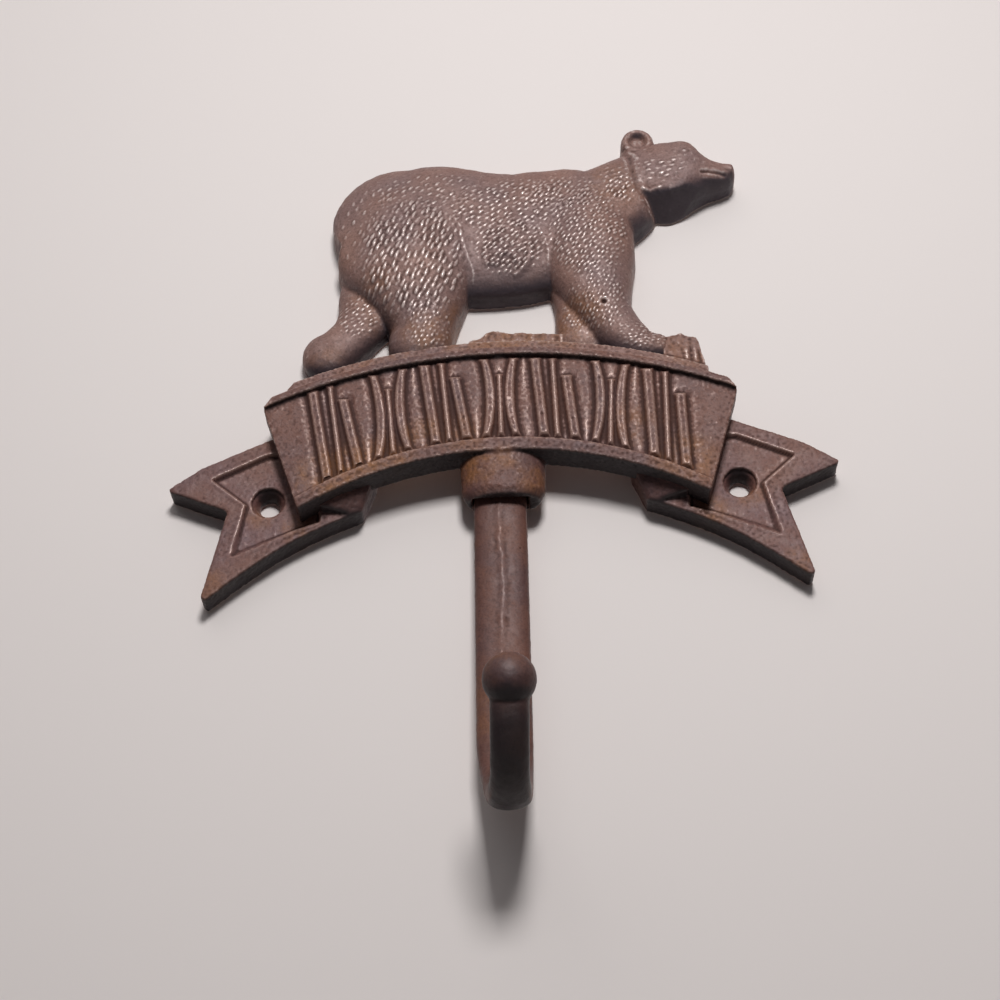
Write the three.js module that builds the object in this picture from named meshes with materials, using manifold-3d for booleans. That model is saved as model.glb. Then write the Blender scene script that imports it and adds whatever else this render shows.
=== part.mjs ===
// Cast iron wall sign with a coat hook: a bear in relief walks along the top of an arched ribbon
// banner with swallow-tail ends, and a hook hangs from a collar under the banner's middle.
// Millimetres. +X is right as seen from the room, +Z is up, and the front faces -Y.
// The flat back lies on the plane y = 0, and the origin is midway between the two screw holes.
// Outlines are drawn in x and z, and a depth is counted from the wall towards the room.
import * as THREE from "three";
import { ConvexGeometry } from "three/addons/geometries/ConvexGeometry.js";
import { LoftGeometry } from "three/addons/geometries/LoftGeometry.js";
import { mergeVertices } from "three/addons/utils/BufferGeometryUtils.js";
import Module from "manifold-3d";

const wasm = await Module();
wasm.setup();

// The banner: two arcs of its own, joined by slanting ends.
const bannerTopWidth = 119.8;
const bannerTopRise = 13.1;
const bannerBottomWidth = 101.2;
const bannerBottomRise = 14.3;
const bannerHeight = 30.8;
const bannerLift = 7.7; // the bottom arc's crown above the screw holes
const bannerThickness = 5.5;
const bannerRound = 0.9;
const rimHeight = 1.5; // the rims stand this far out of the banner's field
const topRimWidth = 2.3;
const bottomRimWidth = 3.8;
const bannerSteps = 16;

// The strokes that fill the banner's field.
const strokeRow = 97;
const strokeGroups = 7;
const strokeProud = 1.3;
const strokeThick = 2.7;
const strokeThin = 1.3;
const strokeMargin = 1.3; // field left bare above and below the strokes
const strokeRound = 0.35;
const strokeLean = 2.2; // how far a leaning stroke's head stands beside its foot
const strokeFan = 5; // how much more the strokes splay from one end of the row to the other
const strokeBow = 1.5;
const shortStroke = 0.8; // a short stroke's share of the full height

// The swallow-tail ends, which pass behind the banner. Reaches count outwards from the banner's
// lower corners, and heights from the screw holes.
const tailThickness = 6.5;
const tailRound = 0.8;
const tailRecess = 1.2;
const tailRim = 4.6;
const upperTipReach = 33.4;
const upperTipHeight = 4.6;
const notchReach = 18.4;
const notchHeight = -2.7;
const lowerTipReach = 24.2;
const lowerTipHeight = -27.4;
const shoulderReach = 6.4; // the upper edge's highest point that shows beside the banner
const shoulderHeight = 18.6;
const brinkReach = 25.4; // where the upper edge turns down to the tip
const brinkHeight = 10.2;
const tipRound = 1.1;
const tailSag = 2.6; // how far the lower edge bows upwards
const tailSteps = 5;

// The folds that carry the ribbon from the tails up behind the banner.
const foldReach = 15.1; // inwards from the banner's lower corners
const foldRise = 2.3; // the tail's inner corner above the banner's lower corner
const foldHeight = 8.4; // the inner end's height behind the banner
const foldSlant = 3.4; // how far the inner end leans inwards
const foldProud = 3.2; // the fold's upper edge in front of the tail
const foldOutReach = 5; // the fold's outer end, inwards from the banner's lower corners
const foldOverlap = 2.6; // how far the fold runs up behind the banner's lower edge

// The screw holes.
const holeReach = 8.4;
const holeBore = 5;
const holeSink = 8.2;
const holeSinkDepth = 3.6;

// The ground that the bear walks on, behind the banner's top rim.
const groundThickness = 9.4;
const groundRise = 4.6; // above the banner's top edge
const groundDepth = 9; // below the banner's top edge
const groundRound = 1.6;
const groundLeft = 54.6;
const groundRight = 53.6;
const groundFade = 9; // the length over which the ground falls to the banner's edge at its ends
const grassThickness = 7;
const grassRise = 11.4;
const grassFrom = -12;
const grassTo = 14;
const grassBlades = 7;
const rockThickness = 8.6;
const rockRise = 13;
const rockFrom = 43.5;
const rockRibs = 4;
const ribRound = 0.9;
const ribStep = 0.8; // every other blade or rib is this much lower and thinner
const ribDrop = 3; // the outermost one is this much lower again
const ribTaper = 0.85; // a rib's width at its top, as a share of its foot
const ribOverlap = 1.2; // a rib's width as a share of their pitch

// The collar and the web behind the banner that ties it to the ground.
const collarWidth = 21.6;
const collarDepth = 12.4;
const collarFront = 13;
const collarTop = 9.5;
const collarBottom = -4.2;
const collarRound = 1.9;
const collarDraft = 0.4; // the collar is this much narrower at its lower round
const webWidth = 16;
const webTop = 31;

// The hook.
const shankWidth = 13.2;
const shankThickness = 6.9;
const shankSetback = 5.3; // the shank's middle from the wall, in the collar
const shankLean = 4.2; // how much farther out the shank is where the bend starts
const curlWidth = 8.6;
const curlThickness = 7.6;
const bendRadius = 16.6;
const bendLevel = -70.6; // the height of the bend's centre
const ballDiameter = 12;
const ballOut = 1.8;
const ballLift = 1.2;
const shankSway = [-0.9, -1.9]; // the hook stands a little out of true, at its top and at the bend
const curlSway = 0.1; // and comes back under the ball
const ridgeHeight = 0.5;
const socketDepth = 9;
const socketClearance = 0.35;
const hookSides = 12;
const bendSteps = 14;
const shankSteps = 4;
const curlShare = 0.62; // the hook has narrowed to its curl's width this far round the bend
const hookFlatness = 0.7; // the exponent of its section's front and back: 1 is an ellipse

// The bear, as long as this from its rump to its nose.
const bearLength = 111.3;
const bearDepth = 13; // the deepest point of the haunch
const bearStand = 5.5; // the soles' mean height above the banner's top edge
const earDiameter = 9.2;
const earHollow = 2.4;
const earDepth = 8.6;

// The locks of its coat: short raised dashes in rows.
const lockPitch = 4.4;
const lockRow = 4.7;
const lockLength = 3.4;
const lockWidth = 1.4;
const lockProud = 0.5;

const ironColour = 0x6a4a42;

// The length and depth of the figure at which its stations below are drawn.
const drawnLength = 111.3;
const drawnDepth = 13;

const iron = new THREE.MeshStandardMaterial({ color: ironColour, roughness: 0.55, metalness: 0.35 });

const point = (x, z, depth) => new THREE.Vector3(x, -depth, z);

// A closed geometry as a solid that can be joined and cut.
function solidOf(geometry) {
  const bare = new THREE.BufferGeometry();
  bare.setAttribute("position", geometry.attributes.position);
  bare.setIndex(geometry.index);
  const merged = mergeVertices(bare, 1e-4);
  return new wasm.Manifold(
    new wasm.Mesh({
      numProp: 3,
      vertProperties: new Float32Array(merged.attributes.position.array),
      triVerts: new Uint32Array(merged.index.array),
    }),
  );
}

function geometryOf(solid) {
  const { vertProperties, triVerts } = solid.getMesh();
  const geometry = new THREE.BufferGeometry();
  geometry.setAttribute("position", new THREE.BufferAttribute(new Float32Array(vertProperties), 3));
  geometry.setIndex(new THREE.BufferAttribute(new Uint32Array(triVerts), 1));
  geometry.computeVertexNormals();
  return geometry;
}

const join = (solids) => solids.reduce((whole, solid) => whole.add(solid));

// A plate with a rounded front edge, between two depths. Its back edge is rounded too, so a plate
// that lies on the wall starts behind it and is trimmed with the rest.
function plate(outline, back, front, round = 0, roundSteps = 1) {
  const geometry = new THREE.ExtrudeGeometry(new THREE.Shape(outline), {
    depth: front - back - 2 * round,
    bevelEnabled: round > 0,
    bevelThickness: round,
    bevelSize: round,
    bevelOffset: -round,
    bevelSegments: roundSteps,
  });
  geometry.rotateX(Math.PI / 2);
  geometry.translate(0, -back - round, 0);
  return solidOf(geometry);
}

function box(xFrom, xTo, back, front, zFrom, zTo) {
  const geometry = new THREE.BoxGeometry(xTo - xFrom, front - back, zTo - zFrom);
  geometry.translate((xFrom + xTo) / 2, -(back + front) / 2, (zFrom + zTo) / 2);
  return solidOf(geometry);
}

// The height of an arch at x: it passes through its crown, and falls by its rise at half its width.
function arch(x, crown, rise, width) {
  const radius = (width * width) / 4 / (2 * rise) + rise / 2;
  return crown - radius + Math.sqrt(radius * radius - x * x);
}

const bannerCrown = bannerLift + bannerHeight;
const topEdge = (x) => arch(x, bannerCrown, bannerTopRise, bannerTopWidth);
const bottomEdge = (x) => arch(x, bannerLift, bannerBottomRise, bannerBottomWidth);
const bannerBack = tailThickness;
const fieldDepth = bannerBack + bannerThickness;
const rimDepth = fieldDepth + rimHeight;
const bottomCorner = bannerBottomWidth / 2;
const topCorner = bannerTopWidth / 2;
const cornerLow = bottomEdge(bottomCorner);
const cornerHigh = topEdge(topCorner);

// The x of the banner's slanting end at a height, on the right.
const endAt = (z) => bottomCorner + ((topCorner - bottomCorner) * (z - cornerLow)) / (cornerHigh - cornerLow);

// A band between two curves, from one x to another.
function band(upper, lower, from, to) {
  const outline = [];
  for (let i = 0; i <= bannerSteps; i++) {
    const x = from + ((to - from) * i) / bannerSteps;
    outline.push(new THREE.Vector2(x, lower(x)));
  }
  for (let i = bannerSteps; i >= 0; i--) {
    const x = from + ((to - from) * i) / bannerSteps;
    outline.push(new THREE.Vector2(x, upper(x)));
  }
  return outline;
}

// A band that runs to the banner's slanting ends.
function fullBand(upper, lower, upperHalf, lowerHalf) {
  const outline = [];
  for (let i = 0; i <= bannerSteps; i++) {
    const x = lowerHalf * ((2 * i) / bannerSteps - 1);
    outline.push(new THREE.Vector2(x, lower(x)));
  }
  for (let i = bannerSteps; i >= 0; i--) {
    const x = upperHalf * ((2 * i) / bannerSteps - 1);
    outline.push(new THREE.Vector2(x, upper(x)));
  }
  return outline;
}

function banner() {
  const rimBack = fieldDepth - 2 * bannerRound;
  const topRimFoot = (x) => topEdge(x) - topRimWidth;
  const bottomRimHead = (x) => bottomEdge(x) + bottomRimWidth;
  const whole = fullBand(topEdge, bottomEdge, topCorner, bottomCorner);
  const upper = fullBand(topEdge, topRimFoot, topCorner, endAt(cornerHigh - topRimWidth));
  const lower = fullBand(bottomRimHead, bottomEdge, endAt(cornerLow + bottomRimWidth), bottomCorner);
  return join([
    plate(whole, bannerBack - bannerRound, fieldDepth, bannerRound, 2),
    plate(upper, rimBack, rimDepth, bannerRound, 2),
    plate(lower, rimBack, rimDepth, bannerRound, 2),
  ]);
}

// One raised stroke of the row: a bar that leans, swells at its foot and may bow sideways.
function stroke(x, width, lean, bow, share) {
  const low = bottomEdge(x) + bottomRimWidth + strokeMargin;
  const high = topEdge(x) - topRimWidth - strokeMargin;
  const steps = bow ? 4 : 1;
  const left = [];
  const right = [];
  for (let i = 0; i <= steps; i++) {
    const along = i / steps;
    const z = low + (high - low) * along * share;
    const middle = x + lean * (along - 0.5) + bow * (1 - 4 * (along - 0.5) ** 2);
    const half = (width / 2) * (bow ? 0.55 + 0.45 * Math.sin(Math.PI * along) : 1);
    left.push(new THREE.Vector2(middle - half, z));
    right.unshift(new THREE.Vector2(middle + half, z));
  }
  const outline = [...right.reverse(), ...left.reverse()];
  return plate(outline, fieldDepth - strokeProud, fieldDepth + strokeProud, strokeRound);
}

// The row of strokes: groups of three, leaning one way and then the other, with bowed pairs between.
function strokes() {
  const made = [];
  const pitch = strokeRow / strokeGroups;
  const apart = 0.28 * pitch;
  for (let group = 0; group < strokeGroups; group++) {
    const x = (group - (strokeGroups - 1) / 2) * pitch;
    const fan = (x / strokeRow) * strokeFan;
    if (group % 2) {
      made.push(stroke(x - apart, strokeThick, fan, strokeBow, 1));
      made.push(stroke(x, strokeThin, fan, 0, shortStroke));
      made.push(stroke(x + apart, strokeThick, fan, -strokeBow, 1));
    } else {
      made.push(stroke(x - apart, strokeThick, fan - strokeLean, 0, 1));
      made.push(stroke(x, strokeThin, fan - strokeLean / 2, 0, 1));
      made.push(stroke(x + apart, strokeThick, fan - strokeLean, 0, shortStroke));
    }
  }
  return made;
}

// One swallow-tail end, its fold and its screw hole, on the right (side 1) or the left (side -1).
function tail(side) {
  const at = (reach, z) => new THREE.Vector2(side * (bottomCorner + reach), z);
  const inner = -foldReach;
  const innerHeight = cornerLow + foldRise;
  const lowerEdge = (reach) => {
    const along = (reach - inner) / (lowerTipReach - inner);
    const straight = THREE.MathUtils.lerp(innerHeight, lowerTipHeight, along);
    return straight + tailSag * Math.sin(Math.PI * along);
  };
  const outline = [];
  for (let i = 0; i < tailSteps; i++) {
    const reach = THREE.MathUtils.lerp(inner + tailRound, lowerTipReach - tipRound, i / tailSteps);
    outline.push(at(reach, lowerEdge(reach)));
  }
  outline.push(
    at(lowerTipReach - tipRound, lowerTipHeight),
    at(lowerTipReach, lowerTipHeight + tipRound),
    at(notchReach, notchHeight),
    at(upperTipReach - tipRound / 2, upperTipHeight - tipRound),
    at(upperTipReach, upperTipHeight),
    at(brinkReach, brinkHeight),
    at(shoulderReach, shoulderHeight),
    at(inner - foldSlant, shoulderHeight),
    at(inner - foldSlant, innerHeight + foldHeight),
    at(inner, innerHeight + tailRound),
  );
  const body = plate(outline, -tailRound, tailThickness, tailRound);
  const recess = plate(
    [
      at(shoulderReach - 2 * tailRim, shoulderHeight - tailRim),
      at(shoulderReach + tailRim / 2, shoulderHeight - 1.2 * tailRim),
      at(upperTipReach - 2.4 * tailRim, upperTipHeight + 0.45 * tailRim),
      at(notchReach - tailRim, notchHeight + 0.4 * tailRim),
      at(lowerTipReach - 1.65 * tailRim, lowerTipHeight + 2.7 * tailRim),
      at(0.3 * tailRim, cornerLow - 0.4 * tailRim),
      at(-tailRim, cornerLow),
    ],
    tailThickness - tailRecess,
    tailThickness + tailRecess,
  );
  // A wedge from behind the banner's lower edge down to the tail's inner corner.
  const proud = tailThickness + foldProud;
  const foldCorners = [
    [-foldOutReach, cornerLow + foldOverlap, proud],
    [-foldOutReach, cornerLow + foldHeight, proud],
    [inner - foldSlant, innerHeight + foldHeight, proud],
    [inner, innerHeight + tailRound, tailThickness],
    [inner + 2 * tailRound, innerHeight - tailRound, tailThickness],
  ];
  const wedge = foldCorners.flatMap(([reach, z, depth]) => {
    const corner = at(reach, z);
    return [point(corner.x, corner.y, depth), point(corner.x, corner.y, tailThickness / 2)];
  });
  return body.subtract(recess).add(solidOf(new ConvexGeometry(wedge)));
}

function screwHole(side) {
  const seat = tailThickness - tailRecess;
  const beyond = tailThickness + 1;
  const bore = new THREE.LatheGeometry(
    [
      new THREE.Vector2(0, -1),
      new THREE.Vector2(holeBore / 2, -1),
      new THREE.Vector2(holeBore / 2, seat - holeSinkDepth),
      new THREE.Vector2(holeSink / 2, seat),
      new THREE.Vector2(holeSink / 2, beyond),
      new THREE.Vector2(0, beyond),
    ],
    20,
  );
  bore.rotateX(Math.PI);
  bore.translate(side * (bottomCorner + holeReach), 0, 0);
  return solidOf(bore);
}

// Upright ribs side by side on the ground, each a little narrower at its top.
function ribs(count, from, to, rise, front, outermost) {
  const half = (ribOverlap * (to - from)) / count / 2;
  const made = [];
  for (let i = 0; i < count; i++) {
    const x = THREE.MathUtils.lerp(from, to, (i + 0.5) / count);
    const step = (i % 2) * ribStep;
    const foot = topEdge(x) - groundRise;
    const top = topEdge(x) + rise - step - (i === outermost ? ribDrop : 0);
    const outline = [
      new THREE.Vector2(x - half, foot),
      new THREE.Vector2(x + half, foot),
      new THREE.Vector2(x + half * ribTaper, top),
      new THREE.Vector2(x - half * ribTaper, top),
    ];
    made.push(plate(outline, -ribRound, front - step, ribRound));
  }
  return made;
}

// The ground strip, a tuft of grass between the legs and a rock under the forefoot.
function ground() {
  const rise = (x) => groundRise * Math.min(1, (groundLeft + 2 - Math.abs(x)) / groundFade);
  const upper = (x) => topEdge(x) + rise(x);
  const lower = (x) => topEdge(x) - groundDepth;
  const outline = band(upper, lower, -groundLeft, groundRight);
  return [
    plate(outline, -groundRound, groundThickness, groundRound),
    ...ribs(grassBlades, grassFrom, grassTo, grassRise, grassThickness, 0),
    ...ribs(rockRibs, rockFrom, groundRight, rockRise, rockThickness, rockRibs - 1),
  ];
}

// The collar, open below for the hook, and the web that backs it.
function collar() {
  const half = collarWidth / 2;
  const boss = new THREE.LatheGeometry(
    [
      new THREE.Vector2(0, collarBottom),
      new THREE.Vector2(half - collarRound, collarBottom),
      new THREE.Vector2(half - collarDraft, collarBottom + collarRound),
      new THREE.Vector2(half, collarTop),
      new THREE.Vector2(0, collarTop),
    ],
    24,
  );
  boss.rotateX(Math.PI / 2);
  boss.scale(1, collarDepth / collarWidth, 1);
  boss.translate(0, -(collarFront - collarDepth / 2), 0);
  const web = box(-webWidth / 2, webWidth / 2, 0, bannerBack + 1, collarBottom + collarRound, webTop);
  return [solidOf(boss), web];
}

// The figure's free forms. Each is a row of stations [x, z, half width, depth], and its section is
// flat at the back, with a low side wall and a domed front. Its ends are rounded.
const figureScale = bearLength / drawnLength;
const depthScale = bearDepth / drawnDepth;
const sectionSteps = 7;
const dome = 2.3; // the section's exponent: 2 is an ellipse, more is flatter on top
const sideWall = 0.3; // the side wall's share of the depth
const domeWidth = 0.985; // the dome's width at its foot, as a share of the walls'

// A point of the drawing, in the part's x and z.
function drawn(x, z) {
  return new THREE.Vector2(x * figureScale, z * figureScale + bannerCrown + bearStand);
}

function section(centre, across, half, depth) {
  const ring = [];
  const place = (u, d) => point(centre.x + across.x * half * u, centre.y + across.y * half * u, d);
  const wall = depth * sideWall;
  ring.push(place(1, -1), place(1, wall / 2));
  for (let i = 0; i <= sectionSteps; i++) {
    const angle = (Math.PI * i) / sectionSteps;
    const c = Math.cos(angle);
    const u = Math.sign(c) * Math.abs(c) ** (2 / dome);
    const v = Math.sin(angle) ** (2 / dome);
    ring.push(place(u * domeWidth, wall + (depth - wall) * v));
  }
  ring.push(place(-1, wall / 2), place(-1, -1));
  return ring;
}

// A limb through its stations, with this many rings from one to the next.
const ringsApart = 2;
const capReaches = [0.97, 0.82, 0.5]; // the rings of a rounded end, in half widths

function limb(stations) {
  const flat = stations.map(([x, z]) => new THREE.Vector3(x, z, 0));
  const sizes = stations.map(([, , half, depth], i) => new THREE.Vector3(half, depth, i));
  const spine = new THREE.CatmullRomCurve3(flat, false, "centripetal");
  const girth = new THREE.CatmullRomCurve3(sizes);
  const sections = [];
  const add = (along, push) => {
    const ahead = spine.getTangent(along);
    const size = girth.getPoint(along);
    const shrink = Math.sqrt(1 - push * push);
    const centre = spine.getPoint(along).addScaledVector(ahead, push * size.x);
    const across = new THREE.Vector2(-ahead.y, ahead.x);
    const depth = size.y * depthScale * (0.45 + 0.55 * shrink);
    sections.push(section(drawn(centre.x, centre.y), across, size.x * shrink * figureScale, depth));
  };
  const count = (stations.length - 1) * ringsApart;
  for (const reach of capReaches) add(0, -reach);
  for (let i = 0; i <= count; i++) add(i / count, 0);
  for (const reach of [...capReaches].reverse()) add(1, reach);
  return solidOf(new LoftGeometry(sections, { capStart: true, capEnd: true }));
}

const torso = [
  [-27.4, 41, 17.2, 9.5], [-17.5, 40.8, 20.9, 11], [-5, 37.3, 21.6, 10.8], [6, 37, 20.8, 10.6],
  [13, 38.4, 19.9, 11], [19.5, 39.4, 18.4, 10.6],
];
const haunch = [
  [-25.5, 46, 12, 8], [-24.8, 38, 19.4, 12.6], [-22.9, 29, 19.2, 13], [-21.4, 20, 16.4, 12.6],
  [-20.2, 12, 11.8, 11.6], [-19.8, 6, 8.8, 10.8], [-20.4, 2, 8.6, 10.4],
];
const foreleg = [
  [24, 50, 8, 8.5], [25.2, 42, 12.2, 12.4], [25.2, 33, 12.5, 12.8], [25.1, 24, 12.3, 12.2],
  [26.4, 15.5, 9.9, 11.6], [28.4, 8.4, 7.8, 11], [32.2, 1.8, 6.9, 10.8], [37, -2, 6.1, 10.2],
  [41.4, -2.5, 5.2, 9.4],
];
const farHindLeg = [
  [-30.4, 28, 9, 7], [-33, 18, 8, 7.2], [-35.2, 12.4, 7.6, 7.4], [-39.6, 7.6, 6.5, 7.8],
  [-43.8, 4.6, 5.1, 7.8], [-47, 3.4, 4.5, 7.2],
];
const farForeleg = [[19.6, 22, 6, 7], [20.6, 13, 5.4, 7], [21.2, 7, 6.2, 7.2], [22.2, 3, 8, 7.6]];
const neck = [[20, 40, 13, 9.6], [31, 45.6, 12.8, 10.8], [39, 50, 11.6, 10.4], [46, 53.4, 10.4, 9.8]];
const head = [
  [44, 53.6, 8.6, 9.6], [48, 53.6, 11.8, 11.2], [52, 54.4, 10.9, 11.4], [55.4, 54.2, 8.6, 10.8],
  [58.2, 53.4, 6.5, 9.8], [62, 53.6, 4.5, 8.4],
];
const cheek = [[44.4, 50.4, 5.8, 10.8], [49, 50.8, 7.2, 12.2], [53, 51.8, 5.4, 11.4]];
const earRoot = [[38.8, 58, 4.4, 8.2], [39.8, 64, 4.7, 8.4]];
const earPlace = [40.4, 65.8];
const coatFrom = [-42, 12];
const coatTo = [34, 59];
const flankFrom = -8; // the locks lie flatter from here forward
const coatDepth = 8.4 * depthScale; // nothing farther back has locks
const coatSlope = 0.72; // nor does a surface that faces the room less than this
const coatUnderside = -0.45; // or that faces down more than this
const mouthDepth = 5;

// A cupped ear, round and open to the front. Its profile goes by shares of its radius and hollow.
function ear() {
  const radius = (earDiameter / 2) * figureScale;
  const front = earDepth * depthScale;
  const cup = new THREE.LatheGeometry(
    [
      new THREE.Vector2(0, -1),
      new THREE.Vector2(radius, -1),
      new THREE.Vector2(radius, front - earHollow),
      new THREE.Vector2(radius * 0.84, front - earHollow * 0.15),
      new THREE.Vector2(radius * 0.6, front - earHollow * 0.2),
      new THREE.Vector2(radius * 0.34, front - earHollow * 0.8),
      new THREE.Vector2(0, front - earHollow),
    ],
    12,
  );
  cup.rotateX(Math.PI);
  const place = drawn(...earPlace);
  cup.translate(place.x, 0, place.y);
  return solidOf(cup);
}

// What lies on the figure's front is put down from the front, square to the surface that it meets.
function surfaceOf(body) {
  const skin = new THREE.Mesh(geometryOf(body), iron);
  const caster = new THREE.Raycaster();
  return (x, z) => {
    const place = drawn(x, z);
    caster.set(point(place.x, place.y, 4 * bearDepth), new THREE.Vector3(0, 1, 0));
    const [hit] = caster.intersectObject(skin);
    return hit && { at: hit.point, normal: hit.face.normal };
  };
}

// A raised grain: an octahedron sunk to its middle, long one way along the surface.
function grain(spot, way, length, width, proud) {
  const side = new THREE.Vector3().crossVectors(spot.normal, way).normalize();
  const along = new THREE.Vector3().crossVectors(side, spot.normal);
  const shape = new THREE.OctahedronGeometry(1);
  shape.scale(width / 2, proud, length / 2);
  shape.applyMatrix4(new THREE.Matrix4().makeBasis(side, spot.normal, along).setPosition(spot.at));
  return solidOf(shape);
}

// The coat: locks in staggered rows on the haunch, the flank and the shoulder. They lean up the
// haunch, and lie flatter from the flank forward. The back, the belly and the far legs are bare.
function coat(surface) {
  const locks = [];
  for (let row = 0; coatFrom[1] + row * lockRow <= coatTo[1]; row++) {
    const stagger = ((row % 2) / 2) * lockPitch;
    for (let x = coatFrom[0] + stagger; x <= coatTo[0]; x += lockPitch) {
      const spot = surface(x, coatFrom[1] + row * lockRow);
      const bare = !spot || -spot.at.y < coatDepth || -spot.normal.y < coatSlope;
      if (bare || spot.normal.z < coatUnderside) continue;
      const way = x < flankFrom ? new THREE.Vector3(0.4, 0, 0.92) : new THREE.Vector3(0.72, 0, 0.69);
      locks.push(grain(spot, way, lockLength, lockWidth, lockProud));
    }
  }
  return locks;
}

function figure() {
  const forms = [torso, haunch, foreleg, farHindLeg, farForeleg, neck, head, cheek, earRoot];
  const body = join([...forms.map(limb), ear()]);
  const surface = surfaceOf(body);
  const level = new THREE.Vector3(1, 0, 0.1);
  const eye = grain(surface(53.4, 58), level, 2.6, 2, 0.7);
  const brow = grain(surface(52.4, 60.2), level, 6, 2.6, 0.8);
  const nose = grain(surface(62.8, 54.8), level, 3.6, 3, 0.5);
  const mouth = [drawn(56.4, 51.2), drawn(67, 51.8), drawn(67, 50.9), drawn(56.4, 50.5)];
  const groove = plate(mouth, mouthDepth * depthScale, 2 * bearDepth);
  return [body.subtract(groove), eye, brow, nose, ...coat(surface)];
}

// One ring of the hook: wide, with a flattened front and back and a casting ridge down its front.
// The angle is how far the hook has turned from hanging straight down.
function hookRing(x, z, depth, angle, width, thickness, ridge) {
  const ring = [];
  for (let i = 0; i < hookSides; i++) {
    const a = (2 * Math.PI * i) / hookSides;
    const u = (Math.cos(a) * width) / 2;
    const crest = i === hookSides / 4 ? ridge : 0;
    const v = (Math.sign(Math.sin(a)) * Math.abs(Math.sin(a)) ** hookFlatness * thickness) / 2 + crest;
    ring.push(point(x + u, z + Math.sin(angle) * v, depth + Math.cos(angle) * v));
  }
  return ring;
}

function hook() {
  const { lerp } = THREE.MathUtils;
  const bendDepth = shankSetback + shankLean + bendRadius;
  const top = collarBottom + socketDepth - socketClearance;
  const rings = [];
  for (let i = 0; i < shankSteps; i++) {
    const share = i / shankSteps;
    const x = lerp(shankSway[0], shankSway[1], share);
    const depth = shankSetback + shankLean * share * share;
    rings.push(hookRing(x, lerp(top, bendLevel, share), depth, 0, shankWidth, shankThickness, ridgeHeight));
  }
  for (let i = 0; i <= bendSteps; i++) {
    const share = i / bendSteps;
    const angle = Math.PI * share;
    rings.push(hookRing(
      lerp(shankSway[1], curlSway, share),
      bendLevel - bendRadius * Math.sin(angle),
      bendDepth - bendRadius * Math.cos(angle),
      angle,
      lerp(shankWidth, curlWidth, Math.min(1, share / curlShare)),
      lerp(shankThickness, curlThickness, share),
      ridgeHeight * (1 - share),
    ));
  }
  const stem = solidOf(new LoftGeometry(rings, { capStart: true, capEnd: true }));
  const ball = new THREE.SphereGeometry(ballDiameter / 2, 14, 9);
  ball.translate(curlSway, -(bendDepth + bendRadius + ballOut), bendLevel + ballLift);
  return stem.add(solidOf(ball));
}

// The blind socket in the collar, for the top of the hook.
function socket() {
  const half = shankWidth / 2 + socketClearance;
  const back = shankSetback - shankThickness / 2 - socketClearance;
  const front = shankSetback + shankThickness / 2 + ridgeHeight + socketClearance;
  const middle = shankSway[0];
  return box(middle - half, middle + half, back, front, collarBottom - 1, collarBottom + socketDepth);
}

function bearSign() {
  const parts = [banner(), ...strokes(), tail(1), tail(-1), ...ground(), ...collar(), ...figure()];
  const room = box(-bannerTopWidth, bannerTopWidth, 0, 4 * rimDepth, 4 * lowerTipHeight, 4 * bannerCrown);
  return join(parts).intersect(room).subtract(screwHole(1)).subtract(screwHole(-1)).subtract(socket());
}

function named(name, solid) {
  const mesh = new THREE.Mesh(geometryOf(solid), iron);
  mesh.name = name;
  return mesh;
}

const sign = new THREE.Group();
sign.add(named("bear_sign", bearSign()));
sign.add(named("coat_hook", hook()));

export default sign;
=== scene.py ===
import math

import bmesh
import bpy
import numpy as np
from mathutils import Euler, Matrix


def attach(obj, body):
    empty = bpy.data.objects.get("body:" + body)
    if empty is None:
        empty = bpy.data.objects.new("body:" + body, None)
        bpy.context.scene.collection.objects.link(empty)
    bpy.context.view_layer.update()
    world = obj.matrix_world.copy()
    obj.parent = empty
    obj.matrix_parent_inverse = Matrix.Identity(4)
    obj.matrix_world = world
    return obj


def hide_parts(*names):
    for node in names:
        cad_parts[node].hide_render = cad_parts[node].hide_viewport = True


# A cast iron wall sign: a bear in relief on an arched ribbon banner, with a coat hook below.
# Shapes are written in millimetres as x, z and depth from the wall.
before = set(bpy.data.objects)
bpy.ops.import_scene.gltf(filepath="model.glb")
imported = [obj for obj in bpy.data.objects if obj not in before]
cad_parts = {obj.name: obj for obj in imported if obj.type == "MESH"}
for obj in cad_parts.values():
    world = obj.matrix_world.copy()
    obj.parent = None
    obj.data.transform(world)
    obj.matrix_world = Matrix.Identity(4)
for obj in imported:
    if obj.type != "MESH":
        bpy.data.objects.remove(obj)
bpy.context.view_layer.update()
mm = 0.001
overlap = 1  # solids run this far into each other, and cutters past what they cut
print("frame loaded")


# Solids: each is a list of points (x, z, depth) and a list of faces

def extruded(outline, back, front):
    n = len(outline)
    points = [(x, z, back) for x, z in outline] + [(x, z, front) for x, z in outline]
    faces = [list(range(n)), list(range(n, 2 * n))]
    faces += [[i, (i + 1) % n, n + (i + 1) % n, n + i] for i in range(n)]
    return points, faces


def block(left, right, low, high, back, front):
    return extruded([(left, low), (right, low), (right, high), (left, high)], back, front)


def lofted(rings):
    n = len(rings[0])
    points = [tuple(p) for ring in rings for p in ring]
    last = len(points) - n
    faces = [list(range(n)), list(range(last, last + n))]
    for r in range(len(rings) - 1):
        for i in range(n):
            j = (i + 1) % n
            faces.append([r * n + i, r * n + j, (r + 1) * n + j, (r + 1) * n + i])
    return points, faces


def turned(profile, place, sides=72):  # profile: radius and level; place: puts a point of a ring
    turns = [2 * math.pi * i / sides for i in range(sides)]
    needle = 0.01  # a tip is a very small ring
    return lofted([
        [place(max(radius, needle) * math.cos(a), max(radius, needle) * math.sin(a), level) for a in turns]
        for radius, level in profile
    ])


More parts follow.
